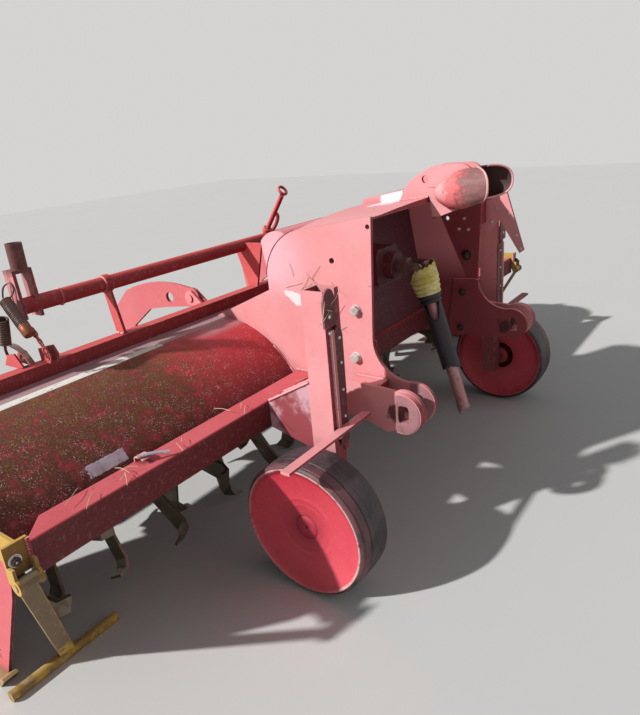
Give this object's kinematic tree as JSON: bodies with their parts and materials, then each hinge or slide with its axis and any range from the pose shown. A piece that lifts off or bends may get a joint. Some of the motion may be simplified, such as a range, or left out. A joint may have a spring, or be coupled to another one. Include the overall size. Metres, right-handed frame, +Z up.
{
  "type": "potato ridge former",
  "caption": "Tractor-mounted rotary ridge former with hooded rotor, depth wheels, ridge pans, drive shaft and parking stands.",
  "frame": {"origin": "on the ground under the middle of the machine, at the middle of its bounding box", "axes": "+X to the left side of the machine, +Y to the rear, +Z up"},
  "size_m": [2.96, 1.6, 1.1083],
  "materials": {
    "dark_iron": "dirty dark paint",
    "bare_steel": "dull bare steel",
    "hood_red": "weathered red paint with lichen",
    "ochre": "worn yellow ochre paint",
    "faded_red": "sun-bleached satin paint",
    "worn_steel": "soil-worn bare steel",
    "guard_yellow": "cracked yellow plastic",
    "guard_black": "dull black plastic",
    "tyre_rubber": "dusty dark rubber"
  },
  "bodies": {
    "frame": {"chain_case": "dark_iron", "end_plate_left": "hood_red", "end_plate_right": "hood_red", "end_skids": "ochre", "front_beam_left": "faded_red", "front_beam_middle": "faded_red", "front_beam_right": "faded_red", "gearbox": "dark_iron", "hitch_lug_left": "faded_red", "hitch_lug_right": "faded_red", "hood_left": "hood_red", "hood_middle": "hood_red", "hood_pivots": "faded_red", "hood_right": "hood_red", "input_yoke": "bare_steel", "link_plate": "faded_red", "rail_brackets": "faded_red", "rail_ends": "faded_red", "rear_beam": "faded_red", "rear_rail": "faded_red", "rotor_bearings": "dark_iron", "stand_brackets": "ochre", "top_link_cheeks": "faded_red", "top_link_funnels": "faded_red", "tower_bulkhead": "faded_red", "tower_cap": "faded_red", "tower_cover": "faded_red", "tower_plate_left": "faded_red", "tower_plate_right": "faded_red", "wheel_sleeve_left": "faded_red", "wheel_sleeve_right": "faded_red"},
    "rotor": {"rotor_shaft": "dark_iron", "rotor_blades_right": "worn_steel", "rotor_blades_left": "worn_steel"},
    "ridge_hood": {"hood_arm_right": "faded_red", "hood_arm_left": "faded_red", "hood_carrier": "faded_red", "ridge_pan_far_right": "worn_steel", "ridge_pan_right": "worn_steel", "ridge_pan_left": "worn_steel", "ridge_pan_far_left": "worn_steel"},
    "wheel_post_right": {"wheel_post_right": "faded_red"},
    "wheel_post_left": {"wheel_post_left": "faded_red"},
    "wheel_right": {"wheel_rim_right": "faded_red", "wheel_tyre_right": "tyre_rubber"},
    "wheel_left": {"wheel_rim_left": "faded_red", "wheel_tyre_left": "tyre_rubber"},
    "stand_right": {"stand_right": "ochre"},
    "stand_left": {"stand_left": "ochre"},
    "drive_shaft": {"drive_shaft": "bare_steel", "shaft_bell": "guard_yellow", "shaft_guard": "guard_black"}
  },
  "joints": [
    {"name": "rotor_turn", "type": "hinge", "parent": "frame", "child": "rotor", "pos_m": [0, 0.03, 0.318], "axis": [1, 0, 0], "continuous": true},
    {"name": "wheel_height_right", "type": "slide", "parent": "frame", "child": "wheel_post_right", "axis": [0, 0, 1], "range_m": [-0.08, 0.1]},
    {"name": "wheel_turn_right", "type": "hinge", "parent": "wheel_post_right", "child": "wheel_right", "pos_m": [-0.744, -0.576, 0.205], "axis": [1, 0, 0], "continuous": true},
    {"name": "stand_swing_right", "type": "hinge", "parent": "frame", "child": "stand_right", "pos_m": [-1.451, -0.396, 0.436], "axis": [-1, 0, 0], "range_deg": [0, 160]},
    {"name": "wheel_height_left", "type": "slide", "parent": "frame", "child": "wheel_post_left", "axis": [0, 0, 1], "range_m": [-0.08, 0.1]},
    {"name": "wheel_turn_left", "type": "hinge", "parent": "wheel_post_left", "child": "wheel_left", "pos_m": [0.744, -0.576, 0.205], "axis": [1, 0, 0], "continuous": true},
    {"name": "stand_swing_left", "type": "hinge", "parent": "frame", "child": "stand_left", "pos_m": [1.451, -0.396, 0.436], "axis": [-1, 0, 0], "range_deg": [0, 160]},
    {"name": "ridge_hood_swing", "type": "hinge", "parent": "frame", "child": "ridge_hood", "pos_m": [0, 0.174, 0.708], "axis": [1, 0, 0], "range_deg": [0, 14]},
    {"name": "drive_shaft_hang", "type": "hinge", "parent": "frame", "child": "drive_shaft", "pos_m": [0, -0.551, 0.77], "axis": [-1, 0, 0], "range_deg": [-14, 66]}
  ]
}
